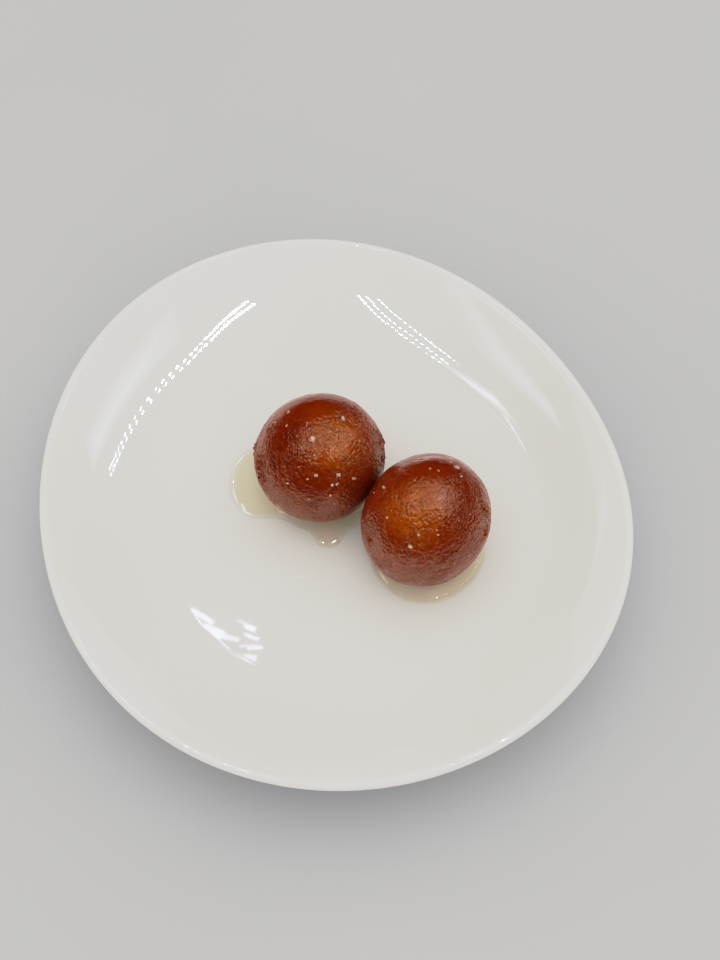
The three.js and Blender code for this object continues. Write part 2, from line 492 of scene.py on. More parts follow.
# %% Porcelain finish
GLAZE_WHITE = (0.80, 0.79, 0.755)
GLAZE_CREAM = (0.785, 0.765, 0.73)
DARK_CLAY, PALE_CLAY = (0.62, 0.58, 0.52), (0.70, 0.66, 0.60)
GLAZE_POOLING = (16, 2.0)            # blots per metre, and how much detail they have
CLAY_GRAIN = (2500, 4.0)
GLAZE_WAVES = (55, 1.0, 0.02 * MM)   # the same two, and how deep
WIPED_UP_TO, GLAZED_FROM = 0.3 * MM, 0.7 * MM
CLAY_ROUGHNESS, GLAZE_ROUGHNESS = 0.75, 0.02
GLAZE_IOR = 1.52


def porcelain_finish():
    """Smooth glaze above the foot, and bare clay where it was wiped."""
    finish, tree, shader = new_finish("glazed_porcelain")
    pooling = mottling(tree, *GLAZE_POOLING)
    glaze = ramp(tree, pooling, [(0.35, GLAZE_CREAM), (0.65, GLAZE_WHITE)])
    clay = mix_colour(tree, mottling(tree, *CLAY_GRAIN), DARK_CLAY, PALE_CLAY)
    glazed = height_above(tree, WIPED_UP_TO, GLAZED_FROM)
    tree.links.new(mix_colour(tree, glazed, clay, glaze), shader.inputs["Base Color"])
    dull = height_above(tree, WIPED_UP_TO, GLAZED_FROM, CLAY_ROUGHNESS, GLAZE_ROUGHNESS)
    tree.links.new(dull, shader.inputs["Roughness"])
    make_uneven(tree, shader, *GLAZE_WAVES)
    shader.inputs["IOR"].default_value = GLAZE_IOR
    return finish


def finish_piece(piece, node, finish):
    """Gives a piece its finish and ties it to its solid in the frame."""
    piece.data.materials.clear()
    piece.data.materials.append(finish)
    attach(piece, "root")
    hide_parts(node)
    sides = [round(side / MM, 1) for side in piece.dimensions]
    print(piece.name, "is", sides, "mm with", len(piece.data.polygons), "faces")


finish_piece(plate, "plate", porcelain_finish())

# %% [markdown]
# ## Rolling the balls
#
# Each ball was rolled by hand and has sagged a little on its foot, so it is an uneven, slightly
# flattened ball. A UV sphere would crowd its points at two poles, where fine wrinkles pinch. So
# a cube is split finely, its points are spaced evenly and cast onto a sphere, which gives even
# squares all over. It is then scaled and turned.

# %% Roll the balls
BALLS = {
    "left": {
        "middle": Vector((-5.0, 8.85)) * MM,
        "half": Vector((23.7, 23.0, 20.5)) * MM,
        "turn": math.radians(74),
        "seed": 11,
    },
    "right": {
        "middle": Vector((31.8, -17.45)) * MM,
        "half": Vector((24.0, 21.5, 21.0)) * MM,
        "turn": math.radians(57.5),
        "seed": 23,
    },
}
COARSE_CUTS, FINE_CUTS = 20, 5


def even_spacing(co):
    """Spaces a cube's points so that they lie evenly once they are cast onto a sphere."""
    return Vector([math.tan(value * math.pi / 4) for value in co])


def roll_ball(name, ball):
    """A smooth flattened ball round the origin, turned as the real one lies."""
    let_go()
    bpy.ops.mesh.primitive_cube_add(size=2, location=(0, 0, 0))
    piece = name_new(name)
    bpy.ops.object.mode_set(mode="EDIT")
    bpy.ops.mesh.select_all(action="SELECT")
    bpy.ops.mesh.subdivide(number_cuts=COARSE_CUTS)
    bpy.ops.mesh.subdivide(number_cuts=FINE_CUTS)
    bpy.ops.object.mode_set(mode="OBJECT")
    move_points(piece, even_spacing)
    apply_modifier(
        piece, "CAST", cast_type="SPHERE", factor=1.0, use_radius_as_size=False, size=1.0)
    piece.scale = ball["half"]
    piece.rotation_euler.z = ball["turn"]
    settle(piece)
    return piece


balls = {side: roll_ball(f"gulab_jamun_{side}_skin", BALLS[side]) for side in BALLS}
print("points in a ball:", len(balls["left"].data.vertices))

# %% [markdown]
# ## Spots on a ball
#
# The skin isn't the same all over: some patches stay tight and smooth, it is crusty where a
# ball rubbed against another, and the crown is painted lighter and more orange, as painted
# light from above. Each such patch is told as a round spot: a direction from the ball's middle
# and a width, both in degrees. A map drawn on an unwrapped ball would do too, but a few
# directions are easier to move about.

# %% Spots on a ball
TIGHT_SPOTS = {        # degrees round, degrees up, how wide in degrees
    "left": [(90, 50, 56), (135, 45, 35), (-40, -5, 36)],
    "right": [(95, 54, 56), (55, 35, 38)],
}
CRUSTY_SPOTS = {
    "left": [(176, 7, 14), (-161, 13, 16), (-150, 6, 12), (7, 16, 15), (-9, 8, 12), (28, 66, 6)],
    "right": [(-6, 24, 12), (9, 39, 10), (-22, 10, 12), (-79, 20, 7), (-65, 22, 6), (-150, 12, 10)],
}
# painted light: the crown of each ball is lighter and more orange, as if lit from above
PAINTED_LIGHT_SPOTS = {"left": [(-42, 63, 54)], "right": [(-118, 63, 54)]}


def ease(value):
    """A soft step: 0 below 0, 1 above 1, and an even curve between."""
    value = min(max(value, 0), 1)
    return value * value * (3 - 2 * value)


def towards(around, up):
    """The direction at some degrees round and some degrees up."""
    around, up = math.radians(around), math.radians(up)
    return Vector((
        math.cos(up) * math.cos(around), math.cos(up) * math.sin(around), math.sin(up)))


def as_spots(spots):
    """Spots as directions, with their widths in radians."""
    return [(towards(around, up), math.radians(wide)) for around, up, wide in spots]


def near_spots(outwards, spots):
    """How strongly a direction lies in any of some round spots."""
    amount = 0
    for spot, wide in spots:
        if outwards.dot(spot) > math.cos(wide):
            amount += 1 - ease(outwards.angle(spot) / wide)
    return min(amount, 1)


print("crusty spots:", {side: len(spots) for side, spots in CRUSTY_SPOTS.items()})

# %% [markdown]
# ## Where the skin puckers
#
# Between the spots the skin puckers more in some places than in others. A modeller would paint
# this with a weight brush. Here the spots and a slow noise paint it, into point groups that the
# modifiers read and into named values that the finish reads, so that relief and colour agree.

# %% Paint the puckering
WIDE_PATCH, SMALL_PATCH, SMALL_PATCH_SHARE = 7 * MM, 2.5 * MM, 0.5
USUAL_PUCKERING, PATCHINESS = 0.48, 0.4
LEAST_PUCKERING, MOST_PUCKERING = 0.22, 0.75
TIGHTENING, CRUSTING = 0.88, 0.7
LEAST_PAINTED_LIGHT = 0.12


def weigh_points(piece, name, amounts):
    """Writes one amount for each point into a point group that modifiers can read."""
    group = piece.vertex_groups.new(name=name)
    for index, amount in enumerate(amounts):
        group.add([index], amount, "REPLACE")


def paint(piece, name, amounts):
    """Writes one value for each point under a name that a finish can read."""
    painted = piece.data.attributes.new(name, "FLOAT", "POINT")
    painted.data.foreach_set("value", amounts)


def paint_puckering(piece, side):
    """Writes how strongly the skin puckers at each point, for modifiers and for finishes."""
    shift = Vector((1, 2, 3)) * BALLS[side]["seed"]
    crusty, tight = as_spots(CRUSTY_SPOTS[side]), as_spots(TIGHT_SPOTS[side])
    amounts, crusts = [], []
    for point in piece.data.vertices:
        patch = noise.noise(point.co / WIDE_PATCH + shift)
        patch += SMALL_PATCH_SHARE * noise.noise(point.co / SMALL_PATCH + shift)
        outwards = point.co.normalized()
        crust = near_spots(outwards, crusty)
        amount = USUAL_PUCKERING + PATCHINESS * patch
        amount = min(max(amount, LEAST_PUCKERING), MOST_PUCKERING)
        amount *= 1 - TIGHTENING * near_spots(outwards, tight)
        amounts.append(min(amount + CRUSTING * crust, 1))
        crusts.append(crust)
    weigh_points(piece, "puckering", amounts)
    weigh_points(piece, "crust", crusts)
    paint(piece, "skin_relief", amounts)


def paint_crown_light(piece, side):
    """Writes painted light: the skin is lighter and more orange, most on the crown, as if lit from
    above.
    """
    lit_spots = as_spots(PAINTED_LIGHT_SPOTS[side])
    paint(piece, "skin_painted_light", [
        LEAST_PAINTED_LIGHT + (1 - LEAST_PAINTED_LIGHT) * near_spots(point.co.normalized(), lit_spots)
        for point in piece.data.vertices])


for side, piece in balls.items():
    paint_puckering(piece, side)
    paint_crown_light(piece, side)
    print(piece.name, "has the point groups", [group.name for group in piece.vertex_groups])

# %% [markdown]
# ## Lumps, dimples and wrinkles
#
# Modifiers push the skin in and out, from the slow lumps of a rolled ball through dimples to
# the fine wrinkles that hot oil and syrup leave. Sculpting would give the same kind of form,
# but four layers of texture are quicker and cover the whole skin. The last two follow the
# painted groups, so tight patches stay smooth and only the crusty spots break up.

# %% Wrinkle the skin
def skin_texture(name, kind, size, **settings):
    """A texture whose forms are about as wide as a size."""
    texture = bpy.data.textures.new(name, kind)
    texture.noise_scale = size
    for key, value in settings.items():
        setattr(texture, key, value)
    return texture


LUMPS = skin_texture("slow lumps", "CLOUDS", 15 * MM, noise_depth=1)
DIMPLES = skin_texture("dimples", "CLOUDS", 3.6 * MM, noise_depth=2)
WRINKLES = skin_texture(
    "wrinkles", "MUSGRAVE", 0.95 * MM, musgrave_type="RIDGED_MULTIFRACTAL", octaves=2.0,
    dimension_max=0.9, lacunarity=2.2)
CRUSTS = skin_texture("crusts", "CLOUDS", 1.1 * MM, noise_depth=1)
SKIN_LAYERS = [        # texture, full height, level that stays in place, where
    (LUMPS, 0.55 * MM, 0.5, ""),
    (DIMPLES, 0.22 * MM, 0.5, ""),
    (WRINKLES, 0.42 * MM, 0.7, "puckering"),
    (CRUSTS, 2.0 * MM, 0.5, "crust"),
]

for piece in balls.values():
    for texture, height, level, group in SKIN_LAYERS:
        apply_modifier(
            piece, "DISPLACE", texture=texture, texture_coords="LOCAL", strength=height,
            mid_level=level, vertex_group=group)
    print(piece.name, "is now", [round(side / MM, 1) for side in piece.dimensions], "mm")

# %% [markdown]
# ## Setting the balls down
#
# A soaked ball is soft enough to flatten a little where it rests. Each ball is lifted to its
# place on the well and cut there with a bisect that fills the cut, which gives the flat spot. A
# boolean with the plate would do too, but it is slower, and it leaves the plate's many small
# faces in the cut.

# %% Set the balls down
BALL_SINK = 0.8 * MM


def set_down(piece, ball):
    """Moves the ball to its place and cuts its bottom flat where it rests on the well."""
    rise = well_floor + ball["half"].z - BALL_SINK
    piece.location = (ball["middle"].x, ball["middle"].y, rise)
    settle(piece)
    bpy.ops.object.mode_set(mode="EDIT")
    bpy.ops.mesh.select_all(action="SELECT")
    bpy.ops.mesh.bisect(
        plane_co=(0, 0, well_floor), plane_no=(0, 0, 1), use_fill=True, clear_inner=True)
    bpy.ops.object.mode_set(mode="OBJECT")


for side, piece in balls.items():
    set_down(piece, BALLS[side])
    smooth_outwards(piece)

# %% [markdown]
# ## The colour of fried skin
#
# The skin is a deep reddish brown. Painted light makes the crown more orange, painted shade
# makes the folds nearly black-red and painted glints make the crests pale. One noise would give
# all of it the same grain, so three of different sizes are laid over one another: slow
# browning, a finer mottle, and the crinkles, which also make the relief.

# %% Colour of the skin
SKIN_DARK = (0.150, 0.011, 0.0003)
SKIN_BROWN = (0.230, 0.029, 0.0006)
# the orange that the painted light gives the crown
SKIN_ORANGE = (0.38, 0.088, 0.0018)
# painted shade for the folds of loose skin
FOLD_PAINTED_SHADE = (0.08, 0.006, 0.0002)
# painted glints for the crests of puckered skin
CREST_PAINTED_GLINT = (0.50, 0.135, 0.010)
BROWNING, MOTTLE, CRINKLES = (110, 4.0), (420, 5.0), (880, 2.0)   # per metre, and detail
CRINKLED = {"Roughness": 0.6, "Distortion": 0.9}
UNEVEN_BROWNING = 0.14


def joined(tree, operation, first, second):
    """Two values added or multiplied."""
    node = add_node(tree, "Math", operation=operation)
    tree.links.new(first, node.inputs[0])
    tree.links.new(second, node.inputs[1])
    return node.outputs["Value"]


def painted_value(tree, name):
    """A value that was painted on the points."""
    return add_node(tree, "Attribute", attribute_name=name).outputs["Fac"]


def skin_colour(tree, mottle, crinkles, puckering):
    """Browned unevenly, with painted light on the crown, painted shade in the folds of loose skin and
    painted glints on its crests.
    """
    browning = mottling(tree, *BROWNING)
    uneven = spread(tree, browning, 0.3, 0.7, -UNEVEN_BROWNING, UNEVEN_BROWNING)
    # painted light: the painted crown value lifts the tone towards orange, random browning moves it
    tone = ramp(tree, joined(tree, "ADD", painted_value(tree, "skin_painted_light"), uneven), [
        (0.0, SKIN_DARK), (0.38, SKIN_BROWN), (1.0, SKIN_ORANGE)])
    spots = spread(tree, mottle, 0.38, 0.62, 0.75, 1.0)
    colour = mix_colour(tree, spots, SKIN_BROWN, tone)
    loose = spread(tree, puckering, 0.08, 0.42)
    # painted shade: the folds of loose skin are darkened
    fold_shade_mask = spread(tree, crinkles, 0.38, 0.55, 0.45, 0.0)
    colour = mix_colour(tree, joined(tree, "MULTIPLY", fold_shade_mask, loose), colour, FOLD_PAINTED_SHADE)
    # painted glints: the crests of puckered skin turn pale
    crest_glint_mask = spread(tree, crinkles, 0.54, 0.68, 0.0, 0.5)
    return mix_colour(tree, joined(tree, "MULTIPLY", crest_glint_mask, puckering), colour, CREST_PAINTED_GLINT)


print("crinkles are about", round(1 / CRINKLES[0] / MM, 1), "mm wide")

# %% [markdown]
# ## Fried skin, wet with syrup
#
# The skin itself is dull and lets a little light in. The syrup over it is a clear coat whose
# own crinkles grow stronger towards the foot, where more of it hangs, and that breaks the
# lamps' light into sparkle. A glossy skin without a coat would look like plastic, and a mesh of
# syrup over the whole ball would only make it thicker.

# %% Fried skin finish
SKIN_CRINKLES, SYRUP_CRINKLES = 0.9 * MM, 0.45 * MM
SYRUP_HANGS_AT, SYRUP_IS_THIN_AT = 6 * MM, 30 * MM
HANGING_SYRUP = 3.6
SKIN_BODY = {
    "Specular IOR Level": 0.0,
    "Subsurface Weight": 0.3,
    "Subsurface Radius": (1.0, 0.25, 0.08),
    "Subsurface Scale": 2.0 * MM,
    "Coat Weight": 1.0,
    "Coat Roughness": 0.05,
    "Coat IOR": 1.9,
}


def bump(tree, height, depth):
    """A bump whose full height is a depth in metres."""
    node = add_node(tree, "Bump", {"Strength": 1.0, "Distance": depth})
    tree.links.new(height, node.inputs["Height"])
    return node.outputs["Normal"]


def fried_skin_finish():
    """Brown skin that lets a little light in, under a crinkled clear coat of syrup."""
    finish, tree, shader = new_finish("fried_skin_in_syrup")
    mottle = mottling(tree, *MOTTLE)
    crinkles = mottling(tree, *CRINKLES, **CRINKLED)
    puckering = painted_value(tree, "skin_relief")
    colour = skin_colour(tree, mottle, crinkles, puckering)
    tree.links.new(colour, shader.inputs["Base Color"])
    tree.links.new(spread(tree, mottle, 0.3, 0.7, 0.34, 0.46), shader.inputs["Roughness"])
    relief = joined(tree, "MULTIPLY", crinkles, puckering)
    tree.links.new(bump(tree, relief, SKIN_CRINKLES), shader.inputs["Normal"])
    hanging = height_above(
        tree, well_floor + SYRUP_HANGS_AT, well_floor + SYRUP_IS_THIN_AT, HANGING_SYRUP, 1.0)
    wet_relief = joined(tree, "MULTIPLY", relief, hanging)
    tree.links.new(bump(tree, wet_relief, SYRUP_CRINKLES), shader.inputs["Coat Normal"])
    for name, value in SKIN_BODY.items():
        shader.inputs[name].default_value = value
    return finish


fried_skin = fried_skin_finish()
for side, piece in balls.items():
    finish_piece(piece, f"gulab_jamun_{side}", fried_skin)

# %% [markdown]
# ## One crystal of sugar
#
# A few pale grains of sugar stick to the skin. A grain of sugar is a worn crystal, so it starts
# as a cube whose edges are cut with a bevel. An icosphere would be as quick, but it would look
# like a ball. One crystal of unit width is enough: every grain is a copy with its own mesh.

# %% Make one crystal
CRYSTAL_CORE = 0.8
CRYSTAL_BEVEL = 0.14


def sugar_crystal():
    """One crystal of about unit width, a cube with cut edges."""
    let_go()
    bpy.ops.mesh.primitive_cube_add(size=CRYSTAL_CORE, location=(0, 0, 0))
    piece = name_new("sugar_crystal")
    bpy.ops.object.mode_set(mode="EDIT")
    bpy.ops.mesh.select_all(action="SELECT")
    bpy.ops.mesh.bevel(offset=CRYSTAL_BEVEL, segments=2, affect="EDGES")
    bpy.ops.mesh.subdivide(number_cuts=1)
    bpy.ops.object.mode_set(mode="OBJECT")
    return piece


crystal = sugar_crystal()
print("a crystal has", len(crystal.data.polygons), "faces")

# %% [markdown]
# ## Where the sugar lies
#
# The large grains sit where the solids have them, told by a direction and a width. The skin's
# point in a direction is worked out from the ball's own three half widths, which is quicker
# than a search for it on the finished mesh, and near enough for a grain that is half sunk.

# %% Places of the grains
GRAINS = {             # degrees round, degrees up, width in mm
    "left": [(-106, 71, 2.4), (17, 65, 2.1), (-67, 36, 1.8), (-92, 39, 1.6), (147, 54, 1.6),
             (-53, 27, 1.5), (-71, 29, 1.4), (-76, 29, 1.2), (-120, 26, 1.2), (-98, 17, 1.1),
             (178, 59, 1.1), (165, 44, 1.1), (-79, 20, 1.0), (-101, 35, 1.0)],
    "right": [(44, 52, 2.2), (56, 50, 1.6), (-109, 33, 1.7), (169, 46, 1.6), (-103, 44, 1.2),
              (-147, 43, 1.0), (27, 55, 1.0), (85, 70, 0.9), (62, 70, 0.9), (-80, 44, 0.9)],
}


def skin_place(ball, direction):
    """The skin's point in a direction from the ball's middle."""
    turn = ball["turn"]
    along = direction.x * math.cos(turn) + direction.y * math.sin(turn)
    across = direction.y * math.cos(turn) - direction.x * math.sin(turn)
    half = ball["half"]
    stretch = Vector((along / half.x, across / half.y, direction.z / half.z)).length
    rise = well_floor + half.z - BALL_SINK
    return Vector((*ball["middle"], rise)) + direction / stretch


crown = skin_place(BALLS["left"], Vector((0, 0, 1)))
print("the left ball's crown is", round(crown.z / MM, 1), "mm above the table")

# %% [markdown]
# ## Strewing the sugar
#
# The small grains are strewn among the large ones by a seeded draw, so that they fall the same
# way each time. Each copy's mesh is pulled about a little, and then it is turned flat onto the
# skin and half sunk in it. A particle system would strew them faster, but it couldn't place the
# large ones.

# %% Strew the grains
SMALL_GRAINS = 16
SMALL_GRAIN_UP = (5, 80)         # degrees
SMALL_GRAIN_WIDTH = (0.35, 0.7)  # mm
GRAIN_DEPTH = (0.55, 0.9)        # shares of the width
GRAIN_HEIGHT = 0.6
PULL, PULL_SCALE, PULL_SHIFT = 0.22, 2.3, 1.7


def pull_about(grain, shift):
    """Pulls a grain's own mesh about, so that no two grains are alike."""
    move_points(grain, lambda co: co + PULL * noise.noise_vector(co * PULL_SCALE + shift))


def strew_grains(side):
    """Copies of the crystal on one ball, joined into one piece."""
    ball = BALLS[side]
    draw = random.Random(ball["seed"])
    wanted = list(GRAINS[side])
    for _ in range(SMALL_GRAINS):
        wanted.append((
            draw.uniform(-180, 180), draw.uniform(*SMALL_GRAIN_UP), draw.uniform(*SMALL_GRAIN_WIDTH)))
    copies = []
    for around, up, width in wanted:
        direction = towards(around, up)
        grain = crystal.copy()
        grain.data = crystal.data.copy()
        pull_about(grain, Vector((len(copies), ball["seed"], 0)) * PULL_SHIFT)
        spin = Quaternion((0, 0, 1), draw.uniform(0, math.pi))
        grain.rotation_mode = "QUATERNION"
        grain.rotation_quaternion = direction.to_track_quat("Z", "Y") @ spin
        grain.scale = Vector((1, draw.uniform(*GRAIN_DEPTH), GRAIN_HEIGHT)) * width * MM
        grain.location = skin_place(ball, direction)
        bpy.context.scene.collection.objects.link(grain)
        copies.append(grain)
    let_go()
    for grain in copies:
        grain.select_set(True)
    bpy.context.view_layer.objects.active = copies[0]
    bpy.ops.object.join()
    bpy.ops.object.transform_apply(location=True, rotation=True, scale=True)
    return name_new(f"sugar_grains_{side}")


grains = {side: strew_grains(side) for side in BALLS}
bpy.data.objects.remove(crystal)
print("faces of sugar:", {side: len(piece.data.polygons) for side, piece in grains.items()})

# %% [markdown]
# ## Wet sugar
#
# The grains are half dissolved: pale and a little pink, because the brown skin shines through
# them, and browner in places. Real refraction would cost much light and time in something a
# millimetre wide, so a cloudy colour stands for it.

# %% Wet sugar finish
SUGAR_SOAKED, SUGAR_PALE = (0.38, 0.19, 0.13), (0.60, 0.44, 0.38)
SUGAR_CLOUDS = (1400, 3.0)             # per metre, and detail
SUGAR_LUMPS = (3000, 2.0, 0.05 * MM)   # the same two, and how deep
SUGAR_BODY = {"Roughness": 0.35, "Specular IOR Level": 0.3}


def sugar_finish():
    """Cloudy wet sugar."""
    finish, tree, shader = new_finish("wet_sugar_grain")
    clouds = mottling(tree, *SUGAR_CLOUDS)
    tone = ramp(tree, clouds, [(0.35, SUGAR_SOAKED), (0.65, SUGAR_PALE)])
    tree.links.new(tone, shader.inputs["Base Color"])
    make_uneven(tree, shader, *SUGAR_LUMPS)
    for name, value in SUGAR_BODY.items():
        shader.inputs[name].default_value = value
    return finish


sugar = sugar_finish()
for side, piece in grains.items():
    smooth_outwards(piece)
    finish_piece(piece, f"gulab_jamun_{side}", sugar)

# %% [markdown]
# ## Outlines of the pools
#
# The syrup that runs off a ball stands round its foot as a thin clear pool. The left pool has
# spread out to the left, and one drop has run towards the eater, so its outline is a smooth
# closed line through listed points. The right pool is nearly round, and three faint waves on a
# circle are enough.

# %% Outlines of the pools
LEFT_POOL = [          # control points in mm round the pool
    (-38.7, 10.2), (-36.1, 1.9), (-29.9, -3.8), (-19.9, -4.4), (-12.6, -8.1), (-9.0, -10.0),
    (-7.0, -12.7), (-5.9, -15.1), (-2.3, -16.6), (1.7, -15.1), (3.2, -12.3), (5.0, -9.5),
    (8.8, -7.1), (10.7, -2.6), (11.1, 5.2), (4.1, 20.2), (-11.9, 28.2), (-27.4, 28.5),
    (-36.1, 22.0),
]
RIGHT_POOL = {"middle": (32.5, -17.7), "radius": 20.9, "wave": 0.55, "waves": 3, "phase": 0.6}
OUTLINE_STEPS = 720


def left_outline():
    """A smooth closed line through the control points."""
    points = [Vector(point) * MM for point in LEFT_POOL]
    count = len(points)
    line = []
    for step in range(OUTLINE_STEPS):
        position = step * count / OUTLINE_STEPS
        index = int(position)
        t = position - index
        a, b, c, d = (points[(index + shift) % count] for shift in (-1, 0, 1, 2))
        line.append(0.5 * (2 * b + (c - a) * t + (2 * a - 5 * b + 4 * c - d) * t * t
                           + (3 * b - a - 3 * c + d) * t ** 3))
    return line


def right_outline():
    """A circle with a few faint waves."""
    pool = RIGHT_POOL
    line = []
    for step in range(OUTLINE_STEPS):
        angle = 2 * math.pi * step / OUTLINE_STEPS
        wave = pool["wave"] * math.sin(pool["waves"] * angle + pool["phase"])
        reach = (pool["radius"] + wave) * MM
        line.append(Vector(pool["middle"]) * MM + reach * Vector((math.cos(angle), math.sin(angle))))
    return line


outlines = {"left": left_outline(), "right": right_outline()}
for side, outline in outlines.items():
    print(side, "pool reaches", round(min(point.x for point in outline) / MM, 1), "mm in x")

# %% [markdown]
# ## Pouring a pool
#
# A small circle under the ball is extruded once, and the new loop is drawn out to the outline.
# Then the spokes between the two loops are subdivided, and a subdivision surface makes the net
# finer. Filling the outline with one face would be simpler, but a net that runs from the middle
# to the edge is what the rounded edge needs.

# %% Pour the pools
FOOT_CIRCLE = 8.0 * MM
FIRST_SPREAD = 2
BETWEEN_LOOPS = 1.5 * FOOT_CIRCLE
NEAR_FOOT = 1.2 * FOOT_CIRCLE
SPOKES, SPOKE_CUTS = 288, 22


def outline_reach(outline, middle, angle):
    """Distance from the ball's middle to the outline in a direction."""
    best = min(outline, key=lambda point: abs(math.remainder(
        math.atan2(point.y - middle.y, point.x - middle.x) - angle, 2 * math.pi)))
    return (best - middle).length


def pick_edges(piece, rule):
    """Picks the edges whose two ends pass a rule, and stays in edit mode."""
    pick_nothing(piece, "EDGE")
    points = piece.data.vertices
    for edge in piece.data.edges:
        edge.select = rule(*(points[index].co for index in edge.vertices))
    bpy.ops.object.mode_set(mode="EDIT")


def pour(side):
    """A flat net of points from the ball's foot out to the pool's outline."""
    middle = BALLS[side]["middle"]
    centre = Vector((*middle, well_floor))
    let_go()
    bpy.ops.mesh.primitive_circle_add(
        vertices=SPOKES, radius=FOOT_CIRCLE, fill_type="NOTHING", location=centre)
    pool = name_new(f"syrup_{side}")
    settle(pool)
    bpy.ops.object.mode_set(mode="EDIT")
    bpy.ops.mesh.select_all(action="SELECT")
    bpy.ops.mesh.extrude_edges_move(TRANSFORM_OT_translate={"value": (0, 0, 0)})
    bpy.ops.transform.resize(value=(FIRST_SPREAD, FIRST_SPREAD, 1), center_override=centre)
    bpy.ops.object.mode_set(mode="OBJECT")

    def draw_to_outline(co):
        spoke = co.xy - middle
        if spoke.length < BETWEEN_LOOPS:
            return co.copy()
        reach = outline_reach(outlines[side], middle, math.atan2(spoke.y, spoke.x))
        return Vector((*(middle + spoke.normalized() * reach), well_floor))

    def at_foot(co):
        return (co.xy - middle).length < NEAR_FOOT

    move_points(pool, draw_to_outline)
    pick_edges(pool, lambda a, b: at_foot(a) != at_foot(b))
    bpy.ops.mesh.subdivide(number_cuts=SPOKE_CUTS)
    bpy.ops.object.mode_set(mode="OBJECT")
    apply_modifier(pool, "SUBSURF", levels=1, render_levels=1)
    return pool


pools = {side: pour(side) for side in BALLS}
print("points in a pool:", len(pools["left"].data.vertices))

# %% [markdown]
# ## How deep the syrup stands
#
# Syrup stands with a round edge and a nearly level middle. The left pool is thin where it has
# spread out and thicker round the ball and in the drop, and two faint ridges show where syrup
# still runs off the right ball. Sculpting could raise these forms, but a rule that gives the
# level for each place and its distance from the edge keeps the edge even all round.

# %% Levels of the syrup
THIN_LAYER, THICK_LAYER = 0.5 * MM, 0.55 * MM
THICK_UP_TO, THICK_FADES_OVER = 18.9 * MM, 2.0 * MM
DROP_FROM_Y, DROP_COMES_OVER = -7.0 * MM, 3.5 * MM
DROP_MIDDLE_X, DROP_HALF_WIDTH, DROP_FADES_OVER = -2.2 * MM, 9.0 * MM, 3 * MM
DROP_CROWN, CROWN_WIDTH = 0.15 * MM, 5 * MM
LEFT_EDGE, DROP_EDGE, RIGHT_EDGE = 2.4 * MM, 1.6 * MM, 2.3 * MM
RIGHT_LAYER = 1.08 * MM
RIDGE_HEIGHT, RIDGE_SPACING = 0.065 * MM, 2.4 * MM
RIDGES_FROM, RIDGES_COME_OVER, RIDGES_TO, RIDGES_GO_OVER = -75, 15, -5, 20   # degrees round


def round_edge(distance, width):
    """0 at the outline, 1 from a width inwards, rounded as a standing drop is."""
    share = min(distance / width, 1)
    return 1 - (1 - share) ** 2


def left_level(place, from_edge):
    """Thin where it spread out, thicker round the ball and in the drop that ran down."""
    from_axis = (place - BALLS["left"]["middle"]).length
    thick = ease((THICK_UP_TO - from_axis) / THICK_FADES_OVER)
    aside = abs(place.x - DROP_MIDDLE_X)
    drop = ease((DROP_FROM_Y - place.y) / DROP_COMES_OVER)
    drop *= ease((DROP_HALF_WIDTH - aside) / DROP_FADES_OVER)
    body = THIN_LAYER + THICK_LAYER * max(thick, drop)
    crown = DROP_CROWN * drop * round_edge(from_edge, CROWN_WIDTH)
    return body * round_edge(from_edge, LEFT_EDGE + DROP_EDGE * drop) + crown


def right_level(place, from_edge):
    """Even all round, with two faint ridges where syrup still runs off on the right."""
    offset = place - BALLS["right"]["middle"]
    turn = math.degrees(math.atan2(offset.y, offset.x))
    ridged = ease((turn - RIDGES_FROM) / RIDGES_COME_OVER)
    ridged *= ease((RIDGES_TO - turn) / RIDGES_GO_OVER)
    ridges = RIDGE_HEIGHT * ridged * math.cos(2 * math.pi * offset.length / RIDGE_SPACING)
    return (RIGHT_LAYER + ridges) * round_edge(from_edge, RIGHT_EDGE)


levels = {"left": left_level, "right": right_level}
spread_out = Vector((-36, 10)) * MM
print("where it spread out, the left pool is", round(left_level(spread_out, 3 * MM) / MM, 2), "mm deep")

# %% [markdown]
# ## Raising the pools
#
# Every point of a pool is raised to its level. The distance from the outline is asked for tens
# of thousands of times, so the outline goes into a tree that finds the nearest point fast. Last
# the open edge is extruded down into the glaze as a short skirt, so that no gap of air shows
# under the syrup.

# %% Raise the pools
SYRUP_SKIRT = 0.12 * MM


def edge_finder(outline):
    """Returns a rule that tells how far a place is from the outline."""
    tree = kdtree.KDTree(len(outline))
    for index, point in enumerate(outline):
        tree.insert((point.x, point.y, 0), index)
    tree.balance()
    return lambda place: tree.find((place.x, place.y, 0))[2]


def raise_pool(pool, side):
    """Raises a pool to its level and gives it a skirt."""
    away_from_edge = edge_finder(outlines[side])
    level = levels[side]
    move_points(pool, lambda co: Vector((
        co.x, co.y, well_floor + level(co.xy, away_from_edge(co.xy)))))
    pick_nothing(pool, "EDGE")
    bpy.ops.object.mode_set(mode="EDIT")
    bpy.ops.mesh.select_non_manifold()
    bpy.ops.mesh.extrude_edges_move(TRANSFORM_OT_translate={"value": (0, 0, -SYRUP_SKIRT)})
    bpy.ops.object.mode_set(mode="OBJECT")


for side, pool in pools.items():
    raise_pool(pool, side)
    smooth_outwards(pool)
    print(side, "syrup stands", round((pool.dimensions.z - SYRUP_SKIRT) / MM, 2), "mm deep")

# %% [markdown]
# ## Clear syrup
#
# Sugar syrup is clear and pale yellow, deeper in colour where it stands deeper. The fine darker
# line at its thin edge is painted shade. It is a glass-like shader. In Cycles such glass throws
# a shadow that is too dark for a film of one millimetre, so shadow rays and diffuse rays meet a
# see-through shader in its place, as the light of a real thin film reaches the plate.

# %% Syrup finish
SYRUP_CLEAR = (1.0, 0.995, 0.98)
